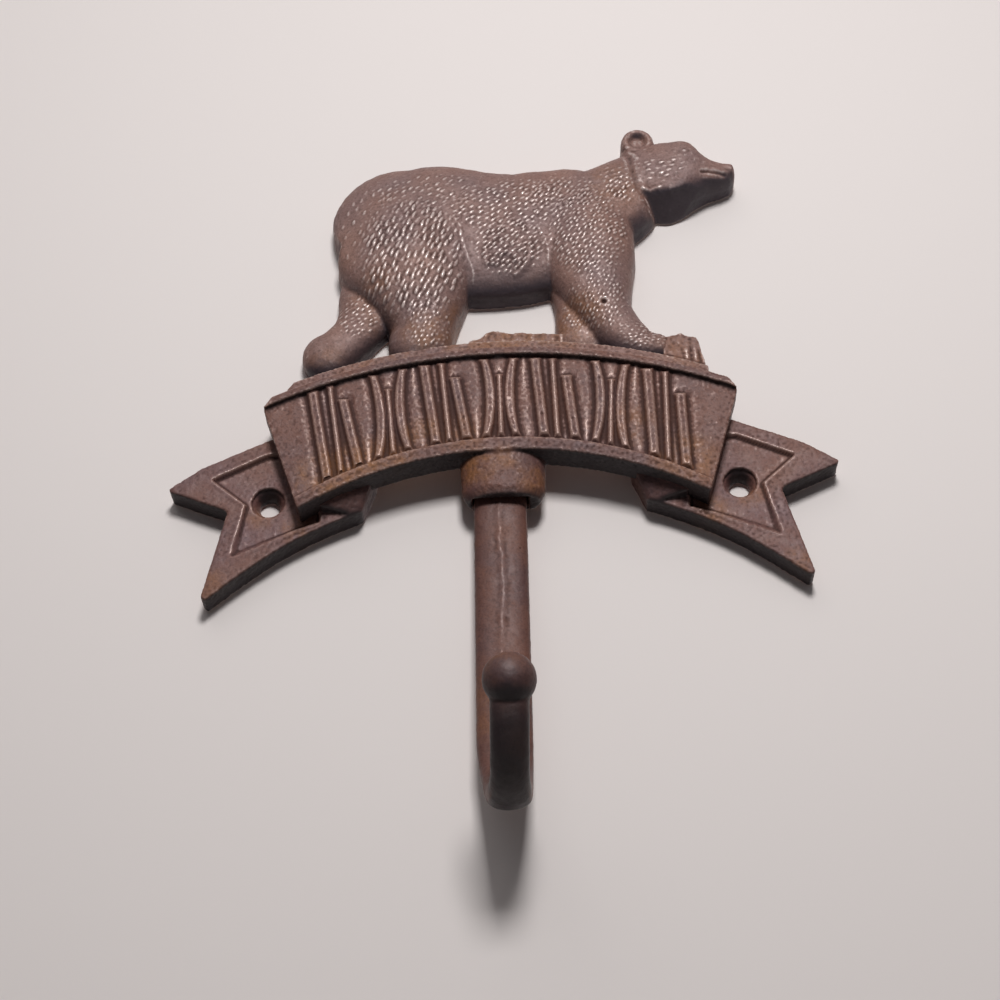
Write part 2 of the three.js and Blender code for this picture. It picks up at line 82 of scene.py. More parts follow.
def wrapped(corners):  # the convex body round these points
    form = bmesh.new()
    made = [form.verts.new(corner) for corner in corners]
    bmesh.ops.convex_hull(form, input=made)
    form.verts.index_update()
    points = [tuple(v.co) for v in form.verts]
    faces = [[v.index for v in face.verts] for face in form.faces]
    form.free()
    return points, faces


def joined(solids):
    points, faces = [], []
    for more, sides in solids:
        faces += [[i + len(points) for i in side] for side in sides]
        points += more
    return points, faces


def addObject(name, solid):
    points, faces = solid
    mesh = bpy.data.meshes.new(name)
    mesh.from_pydata([(x * mm, -depth * mm, z * mm) for x, z, depth in points], [], faces)
    form = bmesh.new()
    form.from_mesh(mesh)
    bmesh.ops.recalc_face_normals(form, faces=form.faces)
    form.to_mesh(mesh)
    form.free()
    thing = bpy.data.objects.new(name, mesh)
    bpy.context.scene.collection.objects.link(thing)
    return thing


def baked(thing, name):  # the mesh that the object's modifiers make, in an object of its own
    shape = bpy.data.meshes.new_from_object(thing.evaluated_get(bpy.context.evaluated_depsgraph_get()))
    bpy.data.objects.remove(thing)
    shape.name = name
    made = bpy.data.objects.new(name, shape)
    bpy.context.scene.collection.objects.link(made)
    return made


def drilled(solid, cutter):
    body, drill = addObject("body", solid), addObject("drill", cutter)
    cut = body.modifiers.new("cut", "BOOLEAN")
    cut.operation = "DIFFERENCE"
    cut.object = drill
    cut.solver = "EXACT"
    made = baked(body, "drilled")
    points = [(v.co.x / mm, v.co.z / mm, -v.co.y / mm) for v in made.data.vertices]
    faces = [list(p.vertices) for p in made.data.polygons]
    bpy.data.objects.remove(drill)
    bpy.data.objects.remove(made)
    return points, faces


# Fields: numpy functions of x and z that raise or sink a surface

def smooth(share):
    share = np.clip(share, 0, 1)
    return share * share * (3 - 2 * share)


def scatter(i, j, k, seed):  # a repeatable number from 0 to 1 for each whole-numbered place
    mixed = (i * 73856093) ^ (j * 19349663) ^ (k * 83492791) ^ (seed * 2654435761)
    mixed = (mixed ^ (mixed >> 13)) * 1274126177 & 0x7FFFFFFF
    mixed = (mixed ^ (mixed >> 15)) * 668265263 & 0x7FFFFFFF
    return (mixed >> 8 & 0xFFFF) / 65535.0


def cloud(place, size, seed):  # smooth noise from -1 to 1 with features of this size
    scaled = place / size
    low = np.floor(scaled).astype(np.int64)
    part = smooth(scaled - low)
    total = 0
    for corner in range(8):
        step = np.array([corner & 1, corner >> 1 & 1, corner >> 2])
        weight = np.prod(np.where(step, part, 1 - part), axis=1)
        cell = low + step
        total = total + weight * scatter(cell[:, 0], cell[:, 1], cell[:, 2], seed)
    return 2 * total - 1


def grained(place, grain, seed):  # the sand mould's grain, in two sizes
    coarse = grain["coarse"] * cloud(place, grain["coarseSize"], seed)
    return coarse + grain["fine"] * cloud(place, grain["fineSize"], seed + 1)


def lineDistance(x, z, line):
    best = np.full(len(x), 1e9)
    for (ax, az), (bx, bz) in zip(line, line[1:]):
        dx, dz = bx - ax, bz - az
        along = np.clip(((x - ax) * dx + (z - az) * dz) / (dx * dx + dz * dz), 0, 1)
        best = np.minimum(best, np.hypot(x - ax - along * dx, z - az - along * dz))
    return best


def inset(x, z, outline):  # distance inside an outline, negative outside
    ring = outline + outline[:1]
    inside = np.zeros(len(x), bool)
    for (ax, az), (bx, bz) in zip(ring, ring[1:]):
        if az != bz:
            inside ^= ((z < az) != (z < bz)) & (x < ax + (z - az) * (bx - ax) / (bz - az))
    away = lineDistance(x, z, ring)
    return np.where(inside, away, -away)


def ridge(x, z, line, width, height):
    return height * np.exp(-((lineDistance(x, z, line) / (width / 2)) ** 2))


def mound(x, z, centre, radii, height, turn=0):
    c, s = math.cos(math.radians(turn)), math.sin(math.radians(turn))
    dx, dz = x - centre[0], z - centre[1]
    return height * np.exp(-(((dx * c + dz * s) / radii[0]) ** 2) - ((dz * c - dx * s) / radii[1]) ** 2)


drops = {  # how much the fur's drops differ, as shares of their pitch and height
    "shiftAlong": 0.6,
    "shiftAside": 0.55,
    "twist": 0.3,
    "taper": 0.8,
    "tip": 0.3,
    "least": 0.35,
}


def locks(x, z, coat, seed):  # staggered rows of short raised drops
    centre, radii, lean, pitch, row, length, width, proud, fade = coat
    turn = math.radians(lean)
    along = (x * math.cos(turn) + z * math.sin(turn)) / pitch
    across = (z * math.cos(turn) - x * math.sin(turn)) / row
    best = np.zeros(len(x))
    for stepRow in (-1, 0, 1):
        thisRow = np.floor(across).astype(np.int64) + stepRow
        shifted = along - 0.5 * (thisRow % 2)
        for stepColumn in (-1, 0, 1):
            cell = np.floor(shifted).astype(np.int64) + stepColumn
            first, second, third = (scatter(cell, thisRow, 0, seed + i) for i in range(3))
            du = (shifted - cell - 0.5 - drops["shiftAlong"] * (first - 0.5)) * pitch
            dv = (across - thisRow - 0.5 - drops["shiftAside"] * (second - 0.5)) * row
            dv -= drops["twist"] * (third - 0.5) * du
            half = width / 2 * np.maximum(1 - drops["taper"] * du / length, drops["tip"])
            rise = smooth(1 - (2 * du / length) ** 2 - (dv / half) ** 2)
            best = np.maximum(best, rise * (drops["least"] + (1 - drops["least"]) * third))
    away = np.hypot((x - centre[0]) / radii[0], (z - centre[1]) / radii[1])
    return proud * best * smooth((1 - away) / fade)


# The casting: solids are melted into one skin, and the pattern's relief is pressed into it

def meshPoints(mesh):
    flat = np.empty(len(mesh.vertices) * 3)
    mesh.vertices.foreach_get("co", flat)
    place = flat.reshape(-1, 3) / mm
    return np.stack([place[:, 0], place[:, 2], -place[:, 1]], 1)


def normals(mesh):
    flat = np.empty(len(mesh.vertices) * 3, np.float32)
    mesh.vertex_normals.foreach_get("vector", flat)
    way = flat.reshape(-1, 3)
    return np.stack([way[:, 0], way[:, 2], -way[:, 1]], 1)


def setPoints(mesh, place):
    flat = np.stack([place[:, 0], -place[:, 2], place[:, 1]], 1) * mm
    mesh.vertices.foreach_set("co", flat.ravel())
    mesh.update()


def averaged(mesh, values, rounds):  # each point's values, mixed with its neighbours' so often
    own = 0.4  # what a point keeps of its own in each round
    pairs = np.empty(len(mesh.edges) * 2, np.int64)
    mesh.edges.foreach_get("vertices", pairs)
    a, b = pairs.reshape(-1, 2).T
    n = len(values)
    count = np.maximum(np.bincount(a, minlength=n) + np.bincount(b, minlength=n), 1)
    for _ in range(rounds):
        near = [np.bincount(a, c[b], n) + np.bincount(b, c[a], n) for c in values.T]
        values = own * values + (1 - own) * np.stack(near, 1) / count[:, None]
    return values


def standing(mesh, rounds):  # how far each point stands out of its form, in millimetres
    place = meshPoints(mesh)
    near = averaged(mesh, place, rounds)
    wide = averaged(mesh, near, 2 * rounds)
    return np.einsum("ij,ij->i", place - near - 0.5 * (near - wide), normals(mesh))


patches = {"reach": 1.6, "paintedShadeGain": 1.6, "paintedShadeFrom": 0.25}  # how patches and the painted shade on undersides fade


def castForm(name, solids, form, relief, rust, scaled=()):
    rough = addObject(name + "Rough", joined(solids))
    melt = rough.modifiers.new("melt", "REMESH")
    melt.mode = "VOXEL"
    melt.voxel_size = form["voxel"] * mm
    melt.use_smooth_shade = True
    dull = rough.modifiers.new("dull", "SMOOTH")
    dull.iterations = form["softening"]
    thing = baked(rough, name + "Skin")
    place, way = meshPoints(thing.data), normals(thing.data)
    place += way * relief(place, way)[:, None]
    place[:, 2] = np.maximum(place[:, 2], 0)
    setPoints(thing.data, place)
    spare = thing.modifiers.new("spare", "DECIMATE")
    spare.ratio = min(1, form["triangles"] / (2 * len(thing.data.polygons)))
    spare.use_collapse_triangulate = True
    thing = baked(thing, name)
    mesh = thing.data
    mesh.polygons.foreach_set("use_smooth", [True] * len(mesh.polygons))
    place = meshPoints(mesh)
    spots = np.zeros(len(place))
    for x, z, radius, strength in rust:
        away = np.hypot(place[:, 0] - x, place[:, 1] - z)
        spots = np.maximum(spots, strength * smooth(patches["reach"] - away / radius))
    # how far each point stands out: it brings a painted highlight with the rubbed wear on the tips, and
    # dirt with painted shade in the hollows
    standOut = standing(mesh, form["standOutRounds"]) / form["standOutUnit"]
    # painted shade: faces that look down get a darker colour through this attribute
    facing = averaged(mesh, normals(mesh), form["standOutRounds"])
    paintedShade = smooth(-facing[:, 1] * patches["paintedShadeGain"] - patches["paintedShadeFrom"])
    # the scaled spots are painted shade too
    for x, z, depth, radius, strength in scaled:
        away = np.linalg.norm(place - [x, z, depth], axis=1)
        paintedShade = np.maximum(paintedShade, strength * smooth(patches["reach"] - away / radius))
    for title, values in (("standOut", np.clip(standOut, -1, 1)), ("rust", spots), ("paintedShade", paintedShade)):
        mesh.attributes.new(title, "FLOAT", "POINT").data.foreach_set("value", values.astype(np.float32))
    print(name, "cast,", len(mesh.polygons), "faces")
    return thing


# The banner's drawing

banner = {
    "topWidth": 119.8,
    "topRise": 13.1,
    "bottomWidth": 101.2,
    "bottomRise": 14.3,
    "height": 30.8,
    "lift": 7.7,  # the lower edge's crown above the screw holes
    "back": 5.6,
    "field": 12.0,
    "rimProud": 1.5,
    "rimSunk": 0.5,
    "topRim": 2.3,
    "bottomRim": 3.8,
    "cornerRound": 2.2,
    "steps": 60,
}
crown = banner["lift"] + banner["height"]


def arch(x, top, rise, width):
    radius = width * width / (8 * rise) + rise / 2
    return top - radius + np.sqrt(np.maximum(radius * radius - x * x, 0))


def topEdge(x):
    return arch(x, crown, banner["topRise"], banner["topWidth"])


def roundedTop(x):  # the top edge as it rounds off at the banner's corners
    turn = banner["cornerRound"]
    over = np.clip((np.abs(x) - banner["topWidth"] / 2 + turn) / turn, 0, 1)
    return topEdge(x) - turn * (1 - np.sqrt(1 - over * over))


def bottomEdge(x):
    return arch(x, banner["lift"], banner["bottomRise"], banner["bottomWidth"])


lowCorner, highCorner = banner["bottomWidth"] / 2, banner["topWidth"] / 2
cornerLow, cornerHigh = float(bottomEdge(lowCorner)), float(topEdge(highCorner))


def endAt(z):  # x of the banner's slanting end
    return lowCorner + (highCorner - lowCorner) * (z - cornerLow) / (cornerHigh - cornerLow)


def band(upper, lower, upperHalf, lowerHalf, steps):
    shares = [2 * i / steps - 1 for i in range(steps + 1)]
    low = [(lowerHalf * s, float(lower(lowerHalf * s))) for s in shares]
    high = [(upperHalf * s, float(upper(upperHalf * s))) for s in shares[::-1]]
    return low + high


strokes = {
    "row": 97,
    "groups": 7,
    "thick": 3.0,
    "thin": 1.9,
    "margin": 0.6,
    "proud": 1.15,
    "lean": 2.2,
    "fan": 5,
    "bow": 1.5,
    "apart": 0.28,  # of the groups' pitch
    "waist": 0.75,  # a bowed stroke's width at its ends
    "short": 0.8,
    "edge": 1.15,  # the slope of a stroke's side
    "trench": 0.34,  # the field is sunk this much round the strokes
    "trenchAt": 0.5,
    "trenchWidth": 0.95,
}


def strokeList():  # x, width, lean, bow and share of the height
    pitch = strokes["row"] / strokes["groups"]
    apart = strokes["apart"] * pitch
    made = []
    for group in range(strokes["groups"]):
        x = (group - (strokes["groups"] - 1) / 2) * pitch
        fan = x / strokes["row"] * strokes["fan"]
        if group % 2:
            made.append((x - apart, strokes["thick"], fan, strokes["bow"], 1))
            made.append((x, strokes["thin"], fan, 0, strokes["short"]))
            made.append((x + apart, strokes["thick"], fan, -strokes["bow"], 1))
        else:
            made.append((x - apart, strokes["thick"], fan - strokes["lean"], 0, 1))
            made.append((x, strokes["thin"], fan - strokes["lean"] / 2, 0, 1))
            made.append((x + apart, strokes["thick"], fan - strokes["lean"], 0, strokes["short"]))
    return made


def strokeRelief(x, z):
    height = np.zeros(len(x))
    nearest = np.full(len(x), 1e9)
    for centre, width, lean, bow, share in strokeList():
        low = bottomEdge(centre) + banner["bottomRim"] + strokes["margin"]
        high = low + (topEdge(centre) - banner["topRim"] - strokes["margin"] - low) * share
        along = np.clip((z - low) / (high - low), 0, 1)
        middle = centre + lean * (along - 0.5) + bow * (1 - 4 * (along - 0.5) ** 2)
        swell = strokes["waist"] + (1 - strokes["waist"]) * np.sin(math.pi * along)
        half = width / 2 * (swell if bow else 1)
        beyond = np.maximum(np.maximum(low - z, z - high), 0)
        out = np.hypot(np.maximum(np.abs(x - middle) - half, 0), beyond)
        inside = np.minimum(half - np.abs(x - middle), np.minimum(z - low, high - z))
        signed = np.where(out > 0, -out, np.maximum(inside, 0))
        height = np.maximum(height, strokes["proud"] * smooth(signed / strokes["edge"] + 0.3))
        nearest = np.minimum(nearest, out)
    trench = strokes["trench"] * np.exp(-((nearest - strokes["trenchAt"]) / strokes["trenchWidth"]) ** 2)
    return np.where(height > 0.01, height, 0) - trench * smooth(1 - height)


bannerForm = {"voxel": 0.33, "softening": 7, "triangles": 190000, "standOutRounds": 10, "standOutUnit": 0.12}
castGrain = {"coarse": 0.05, "coarseSize": 1.5, "fine": 0.08, "fineSize": 0.62}


def bannerRelief(place, way):
    x, z, depth = place.T
    front = smooth((way[:, 2] - 0.2) / 0.4) * smooth((depth - banner["field"] + 1.2) / 0.8)
    low, high = bottomEdge(x) + banner["bottomRim"], topEdge(x) - banner["topRim"]
    field = smooth((z - low) / 0.3) * smooth((high - z) / 0.3) * (depth < banner["field"] + 0.9)
    raised = strokeRelief(x, z) * front * field
    return raised + grained(place, castGrain, 3)


collar = {
    "width": 21.6,
    "depth": 12.4,
    "front": 13.0,
    "top": 9.5,
    "bottom": -4.2,
    "round": 1.9,
    "draft": 0.4,
    "taper": (1.8, 2.6),  # how far its foot draws in, and over what height
    "webWidth": 16,
    "webTop": 31,
    "socket": 9,
    "socketEase": 0.5,  # more room in front of the shank
}
hook = {
    "width": 13.2,
    "thickness": 6.9,
    "setback": 5.3,
    "lean": 4.2,
    "curlWidth": 8.6,
    "curlThickness": 7.6,
    "bend": 16.6,
    "level": -70.6,
    "ball": 12,
    "ballOut": 1.8,
    "ballLift": 1.2,
    "topSway": -0.9,
    "footSway": -1.9,
    "curlSway": 0.1,
    "seam": 0.3,
    "seamWidth": 0.8,
    "seamWander": 0.35,
    "seamFoot": -66,  # it fades out above here
    "seamDepth": 16,  # and runs along the shank only
    "clearance": 0.35,
    "squareness": 0.7,
    "taperEnd": 0.62,  # the bend has its full taper at this share
    "shankRings": 24,
    "bendRings": 48,
    "ballRings": 24,
}


def makeBanner():
    rimFoot = banner["field"] - banner["rimSunk"]
    rim = banner["field"] + banner["rimProud"]
    steps = banner["steps"]
    outline = band(roundedTop, bottomEdge, highCorner, lowCorner, steps)
    plate = extruded(outline, banner["back"], banner["field"])
    underRim = lambda x: topEdge(x) - banner["topRim"]
    overRim = lambda x: bottomEdge(x) + banner["bottomRim"]
    upper = band(roundedTop, underRim, highCorner, endAt(cornerHigh - banner["topRim"]), steps)
    lower = band(overRim, bottomEdge, endAt(cornerLow + banner["bottomRim"]), lowCorner, steps)
    half = collar["width"] / 2
    flat = collar["depth"] / collar["width"]
    middle = collar["front"] - collar["depth"] / 2
    boss = turned([
        (0, collar["bottom"]),
        (half - collar["taper"][0], collar["bottom"]),
        (half - collar["draft"], collar["bottom"] + collar["taper"][1]),
        (half, collar["top"]),
        (0, collar["top"]),
    ], lambda a, b, level: (a, level, middle + b * flat))
    wide, deep = hook["width"] / 2 + hook["clearance"], hook["thickness"] / 2 + hook["clearance"]
    sway, top = hook["topSway"], collar["bottom"] + collar["socket"]
    front = hook["setback"] + deep + collar["socketEase"]
    socket = block(sway - wide, sway + wide, collar["bottom"] - overlap, top, hook["setback"] - deep, front)
    webHalf, webFoot = collar["webWidth"] / 2, collar["bottom"] + collar["round"]
    web = block(-webHalf, webHalf, webFoot, collar["webTop"], 0, banner["back"] + overlap)
    rims = [extruded(upper, rimFoot, rim), extruded(lower, rimFoot, rim)]
    solids = [plate, *rims, drilled(boss, socket), drilled(web, socket)]
    return castForm("ribbonBanner", solids, bannerForm, bannerRelief, bannerRust)


# x, z, radius and strength of the ochre rust patches, in millimetres
bannerRust = [
    (-38, 2, 9, 0.8), (-30, 5.5, 7, 0.6), (-20, 14, 4, 0.7), (45, 3, 7, 0.55), (-46, 3, 5, 0.6),
    (-6, 4, 4, 0.7), (1, 6, 3, 0.5), (8, 0, 4, 0.5), (33, 14, 5, 0.35), (-10, 13, 5, 0.4),
]

# The swallow-tail ends

tail = {
    "thickness": 6.5,
    "recess": 1.2,
    "rim": 4.6,
    "upperTip": (33.4, 4.6),
    "notch": (18.4, -2.7),
    "lowerTip": (24.2, -27.4),
    "shoulder": (6.4, 18.6),
    "brink": (25.4, 10.2),
    "tipRound": 1.1,
    "tipBlunt": (0.5, 1.1),  # how far the upper tip's under corner stands back
    "sag": 2.6,
    "fold": 15.1,
    "foldRise": 2.3,
    "foldHeight": 8.4,
    "foldSlant": 3.4,
    "foldProud": 3.2,
    "foldOut": 5,
    "foldOverlap": 2.6,
    "hole": 8.4,
    "bore": 5,
    "sink": 8.2,
    "sinkDepth": 3.6,
    "steps": 14,
    "panelEdge": 0.55,
    "panelSlope": 1.3,  # the panel's lower side is a soft slope
    "slopeFrom": -7,
    "slopeOver": 5,
}
tailForm = {"voxel": 0.33, "softening": 6, "triangles": 80000, "standOutRounds": 10, "standOutUnit": 0.12}


def makeTail(side, name):
    inner, height = -tail["fold"], cornerLow + tail["foldRise"]
    tipX, tipZ = tail["lowerTip"]
    at = lambda reach, z: (side * (lowCorner + reach), z)
    outline = []
    for i in range(tail["steps"]):
        share = i / tail["steps"]
        z = height + (tipZ - height) * share + tail["sag"] * math.sin(math.pi * share)
        outline.append(at(inner + (tipX - tail["tipRound"] - inner) * share, z))
    outline += [at(tipX - tail["tipRound"], tipZ), at(tipX, tipZ + tail["tipRound"]), at(*tail["notch"])]
    highX, highZ = tail["upperTip"]
    outline += [at(highX - tail["tipBlunt"][0], highZ - tail["tipBlunt"][1]), at(highX, highZ)]
    outline += [at(*tail["brink"]), at(*tail["shoulder"])]
    outline += [at(inner - tail["foldSlant"], tail["shoulder"][1])]
    outline += [at(inner - tail["foldSlant"], height + tail["foldHeight"]), at(inner, height)]
    centre = side * (lowCorner + tail["hole"])
    seat = tail["thickness"] - tail["recess"]
    drill = turned([
        (0, -overlap),
        (tail["bore"] / 2, -overlap),
        (tail["bore"] / 2, seat - tail["sinkDepth"]),
        (tail["sink"] / 2, seat),
        (tail["sink"] / 2, tail["thickness"] + overlap),
        (0, tail["thickness"] + overlap),
    ], lambda a, b, level: (centre + a, b, level))
    body = drilled(extruded(outline, 0, tail["thickness"]), drill)
    proud, foot = tail["thickness"] + tail["foldProud"], tail["thickness"] / 2
    corners = [
        (*at(-tail["foldOut"], cornerLow + tail["foldOverlap"]), proud),
        (*at(-tail["foldOut"], cornerLow + tail["foldHeight"]), proud),
        (*at(inner - tail["foldSlant"], height + tail["foldHeight"]), proud),
        (*at(inner, height + 0.8), tail["thickness"]),
        (*at(inner + 1.6, height - 0.8), tail["thickness"]),
    ]
    fold = wrapped(corners + [(x, z, foot) for x, z, depth in corners])
    solids = [body, fold]
    rim = tail["rim"]
    panel = [
        at(-0.6 * rim, tail["shoulder"][1] - rim),
        at(tail["shoulder"][0] + rim / 2, tail["shoulder"][1] - 1.2 * rim),
        at(highX - 2.4 * rim, highZ + 0.45 * rim),
        at(tail["notch"][0] - rim, tail["notch"][1] + 0.4 * rim),
        at(tipX - 1.65 * rim, tipZ + 2.7 * rim),
        at(0.3 * rim, cornerLow - 0.4 * rim),
        at(-rim, cornerLow),
    ]

    def relief(place, way):
        x, z, depth = place.T
        lower = smooth((tail["slopeFrom"] - z) / tail["slopeOver"])
        edge = tail["panelEdge"] + tail["panelSlope"] * lower
        sunk = smooth(inset(x, z, panel) / edge + 0.5)
        place[:, 2] -= tail["recess"] * sunk * smooth(depth / tail["thickness"] * 2.2 - 1.1)
        return grained(place, castGrain, 11)

    return castForm(name, solids, tailForm, relief, [(side * x, z, r, s) for x, z, r, s in tailRust])


tailRust = [(51, -8, 4, 0.5), (72, -24, 4, 0.4), (61, -4, 3, 0.35)]

# The ground

ground = {
    "thickness": 9.4,
    "rise": 4.6,
    "depth": 9,
    "left": 54.6,
    "right": 53.6,
    "fade": 3,
    "grain": 1.1,
    "grainProud": 0.2,
    "clumps": {  # how far each stands from the wall, and its crest as x and height over the edge
        "tuft": (7, [
            (-11, 3.6), (-8.7, 5), (-7.2, 6.8), (-4.6, 7.3), (-2.9, 9), (-1.2, 9.5), (1.2, 8.8),
            (4, 8.4), (6.2, 8.8), (9, 8.3), (12, 8.6), (17, 8.4),
        ]),
        "rock": (8.6, [
            (42.5, 10.6), (45.5, 11.9), (47.4, 13), (49.2, 12.7), (51.2, 13.1), (52, 11.4),
            (52.2, 9), (52.9, 6.4), (53.3, 2),
        ]),
    },
}


def groundSolids():
    shares = [i / 60 for i in range(61)]
    xs = [-ground["left"] + (ground["left"] + ground["right"]) * s for s in shares]
    rise = lambda x: ground["rise"] * min(1, (ground["left"] + 2 - abs(x)) / ground["fade"])
    low = [(x, float(topEdge(x)) - ground["depth"]) for x in xs]
    high = [(x, float(topEdge(x)) + rise(x)) for x in xs[::-1]]
    made = [extruded(low + high, 0, ground["thickness"])]
    for front, crest in ground["clumps"].values():
        foot = [(x, float(topEdge(x)) - ground["rise"]) for x, up in crest]
        made.append(extruded(foot + [(x, float(topEdge(x)) + up) for x, up in crest[::-1]], 0, front))
    return made


def clumpRelief(x, z, depth):  # faint upright ribs on the tuft and the rock
    ribs = cloud(np.stack([x, 0.15 * z, 0 * x], 1), ground["grain"], 70)
    height = np.zeros(len(x))
    for front, crest in ground["clumps"].values():
        inside = smooth((x - crest[0][0]) / 2) * smooth((crest[-1][0] - x + 1) / 2)
        inside *= smooth((front + 0.6 - depth) / 0.5) * smooth((z - topEdge(x) - ground["rise"]) / 1.5)
        height += inside * ribs
    return ground["grainProud"] * height


groundForm = {"voxel": 0.33, "softening": 5, "triangles": 110000, "standOutRounds": 10, "standOutUnit": 0.12}
groundRust = [(-6, 44, 8, 0.5), (6, 44, 9, 0.6), (14, 43, 6, 0.4), (-30, 38, 9, 0.35), (48, 38, 6, 0.3)]


def makeGround():
    def relief(place, way):
        x, z, depth = place.T
        front = smooth((way[:, 2] - 0.25) / 0.45)
        return clumpRelief(x, z, depth) * front + grained(place, castGrain, 7)

    return castForm("groundStrip", groundSolids(), groundForm, relief, groundRust)


# The bear. Each limb is a row of stations: x, z above the ground line, half width and depth.

bear = {
    "stand": 44.0,  # the drawing's ground line above the screw holes
    "dome": 2.3,  # the section's exponent: 2 is an ellipse
    "sideWall": 0.3,
    "sectionSteps": 36,
    "sectionInset": 0.985,
    "ringsApart": 8,
    "caps": (0.99, 0.95, 0.87, 0.75, 0.6, 0.42, 0.22),  # how far out a limb's round end has its rings
    "capDepth": 0.45,
    "limbs": {
        "torso": [
            (-24.4, 41.6, 19.4, 10), (-17.5, 40.9, 20.8, 11), (-11, 39.2, 21.3, 11), (-5, 37.4, 21.6, 10.8),
            (6, 37, 20.8, 10.6), (13, 38.4, 19.9, 11), (19.5, 39.8, 18.8, 10.6),
        ],
        "haunch": [
            (-24.4, 39.5, 12.4, 10), (-24.3, 36, 16.6, 12), (-23.6, 31.5, 18.9, 12.8),
            (-22.8, 26.5, 18.9, 13), (-21.4, 20, 16.4, 12.6), (-20.2, 12, 11.8, 11.6),
            (-19.8, 6, 8.8, 10.8), (-20.4, 2, 8.6, 10.4),
        ],
        "foreleg": [
            (24.2, 42, 8.5, 10), (24.7, 39, 11, 11.8), (25.1, 35.5, 12.3, 12.5), (25.2, 31, 12.5, 12.7),
            (25.1, 24, 12.3, 12.2), (26.4, 15.5, 9.9, 11.6), (28.4, 8.4, 7.8, 11), (32.2, 1.8, 6.9, 10.8),
            (37, -2.4, 5.8, 10.2), (41, -3.2, 4.6, 9.4),
        ],
        "farHindLeg": [
            (-30.4, 28, 9, 7), (-33, 20, 9, 7.2), (-34.4, 13, 8.2, 7.5), (-37.6, 7, 6.6, 7.9),
            (-41.5, 2.6, 6.4, 8.1), (-44.6, 0.2, 7, 7.8),
        ],
        "farForeleg": [(19.6, 22, 6, 7), (20.6, 13, 5.4, 7), (21.2, 7, 6.2, 7.2), (22.2, 3, 8, 7.6)],
        "neck": [(20, 40, 13, 9.6), (31, 45.6, 12.8, 10.6), (38.6, 50.9, 11, 10.2), (44, 53, 9.6, 9.8)],
        "head": [
            (43, 53.2, 11.1, 10.2), (46.5, 53, 11.8, 10.9), (49, 53.1, 11.5, 11.2),
            (52, 53.8, 10.7, 11.4), (54.2, 54.3, 9.4, 11.2), (55.8, 54.1, 8.1, 10.8),
            (57.4, 53.5, 6.5, 10.3), (59.7, 52.9, 4.8, 9.7), (62.4, 52.8, 3.9, 9), (64.2, 53, 3.2, 8.5),
        ],
        "earRoot": [(38.8, 58, 4.4, 8.2), (40, 62.6, 4.5, 8.2)],
        "nose": [(61.4, 53.9, 2.5, 8.9), (65.1, 53.4, 2.6, 8.8)],
    },
    "upright": ("head", "nose"),  # their sections stand upright, and their ends are shallow
    "shallow": 0.5,
    "underJaw": ("head", "nose", "neck"),
    "domes": {"head": 2.7, "nose": 2.4},
    "ear": {"centre": (40.4, 64.4), "radius": 4.6, "front": 8.6},
    "jawLine": [(40, 46), (42.9, 45.4), (48.2, 45.3), (52.5, 46.6), (55.6, 47.4), (59, 48)],
    "jawDepth": 9,
    "jawSlope": 2.2,
    "jawLean": 0.55,  # the plane's rear edge runs forward as it comes down
    "jawRound": 0.9,
    "gridFrom": (-56, -10),
    "gridTo": (72, 76),
    "grid": 0.4,
    "softening": 3.2,
    "patch": 7,  # the coat's height differs from patch to patch
    "patchMean": 0.85,
    "patchChange": 0.4,
}
coats = {  # centre, radii, lean, pitch, row, length, width, proud and fade
    "haunch": ((-22, 26), (16, 22), 66, 3.1, 1.5, 3.4, 1.2, 0.48, 0.3),
    "rump": ((-31, 36), (13, 18), 72, 3.6, 2.6, 2.4, 1.1, 0.26, 0.4),
    "nearHindLeg": ((-18, 5), (8, 11), 58, 1.7, 1.05, 1.6, 0.8, 0.24, 0.5),
    "back": ((-18, 48), (20, 9), 38, 2.8, 1.8, 2.3, 1, 0.28, 0.5),
    "flankTop": ((4, 43), (20, 11), 34, 2.3, 1.45, 2.1, 0.95, 0.34, 0.4),
    "flank": ((4, 29.5), (11, 10), 42, 2, 1.25, 2, 0.9, 0.44, 0.4),
    "shoulder": ((25, 32), (12, 18), 50, 1.9, 1.15, 1.8, 0.8, 0.34, 0.35),
    "withers": ((19, 46), (13, 8), 48, 2.2, 1.4, 2, 0.9, 0.3, 0.5),
    "nearForeleg": ((28, 9), (8, 12), 60, 1.6, 1, 1.5, 0.75, 0.27, 0.5),
    "nearForefoot": ((37, -1), (8, 6), 10, 1.5, 0.95, 1.4, 0.75, 0.26, 0.5),
    "farHindLeg": ((-36.5, 10), (8, 8), 40, 1.9, 1.25, 1.7, 0.85, 0.27, 0.5),
    "neckTuft": ((34.5, 46.5), (5.5, 5.5), 50, 2, 1.25, 2, 0.95, 0.45, 0.5),
    "neck": ((33, 51), (6, 7), 25, 2.4, 1.6, 1.7, 0.8, 0.16, 0.6),
    "farForeleg": ((20.5, 9), (4.6, 9), 60, 1.5, 1, 1.3, 0.7, 0.2, 0.5),
    "cheek": ((46, 52.5), (9, 8), 8, 2.3, 1.5, 2.2, 1, 0.2, 0.7),
}
